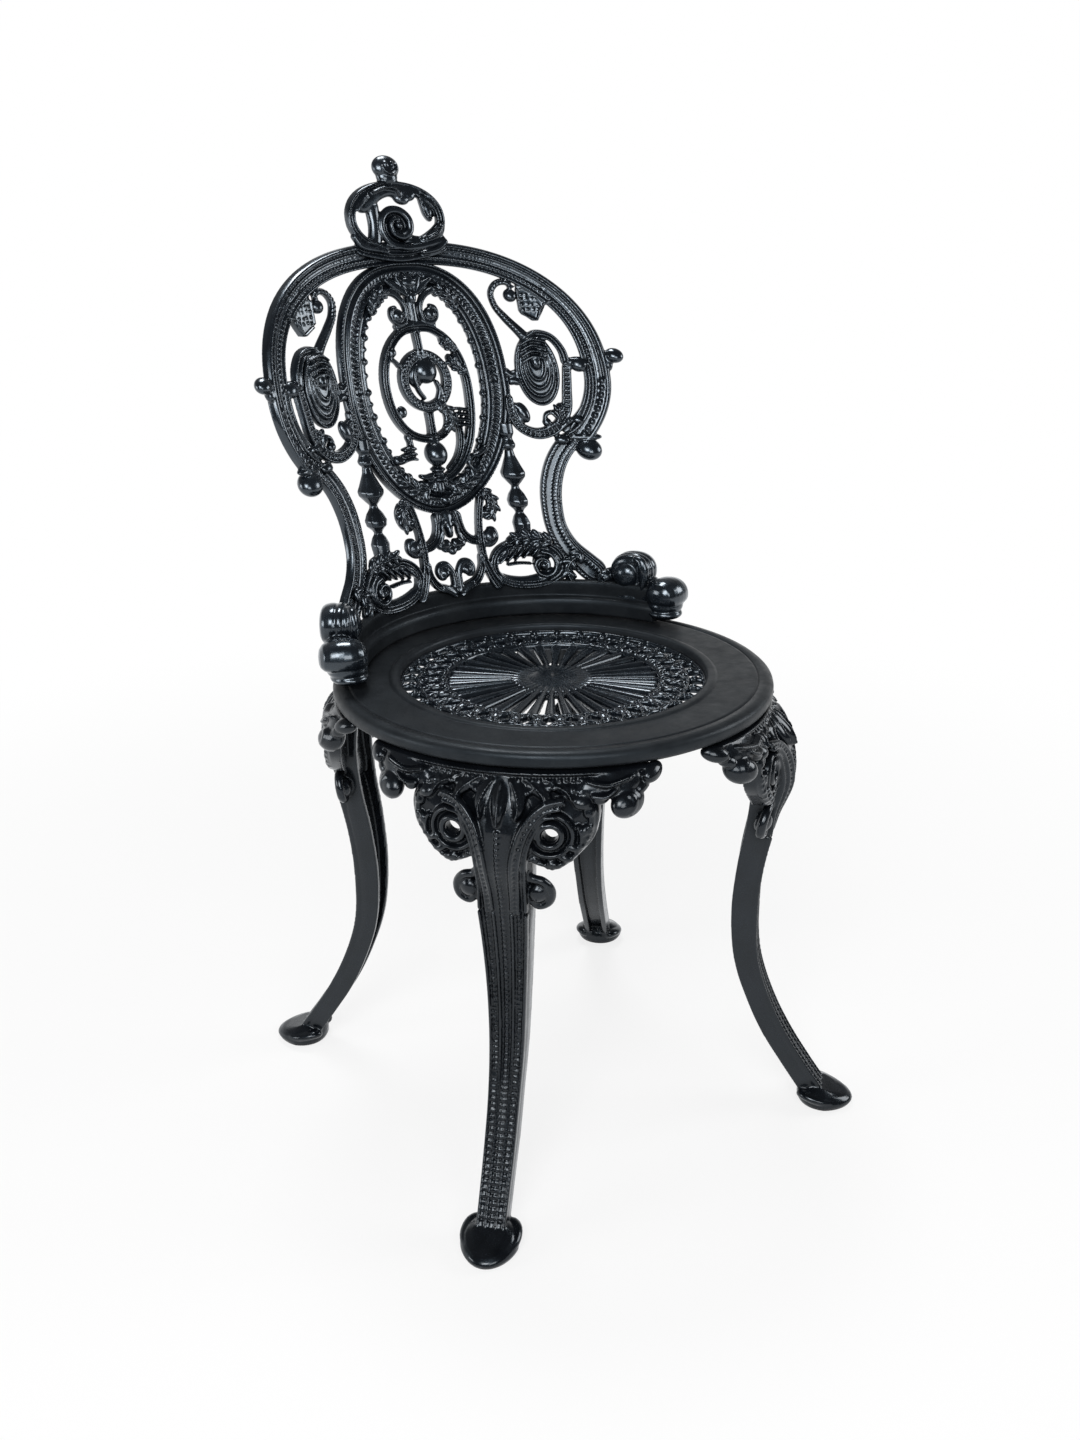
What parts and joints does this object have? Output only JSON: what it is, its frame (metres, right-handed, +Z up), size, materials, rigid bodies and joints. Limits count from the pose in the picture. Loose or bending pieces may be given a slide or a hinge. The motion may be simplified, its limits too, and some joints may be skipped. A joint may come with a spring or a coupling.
{
  "type": "cast iron garden chair",
  "caption": "Cast iron garden chair with a round pierced seat, a scrolled and pierced barrel back and cabriole legs on pad feet.",
  "frame": {"origin": "on the floor, under the middle of the bounding box", "axes": "+Z up from the floor, the sitter faces -Y, +X to the sitter's left"},
  "size_m": [0.4382, 0.5302, 0.8719],
  "materials": {
    "satin_enamel": "sand cast iron under worn black enamel, satin on the broad faces",
    "gloss_enamel": "sand cast iron under thick gloss black enamel",
    "bolt_enamel": "steel bolts painted over with the same black enamel"
  },
  "bodies": {
    "root": {"seat": "satin_enamel", "back": "gloss_enamel", "leg_front_left": "gloss_enamel", "leg_front_right": "gloss_enamel", "leg_rear_left": "gloss_enamel", "leg_rear_right": "gloss_enamel", "leg_bolts": "bolt_enamel", "back_bolts": "bolt_enamel"}
  },
  "joints": []
}
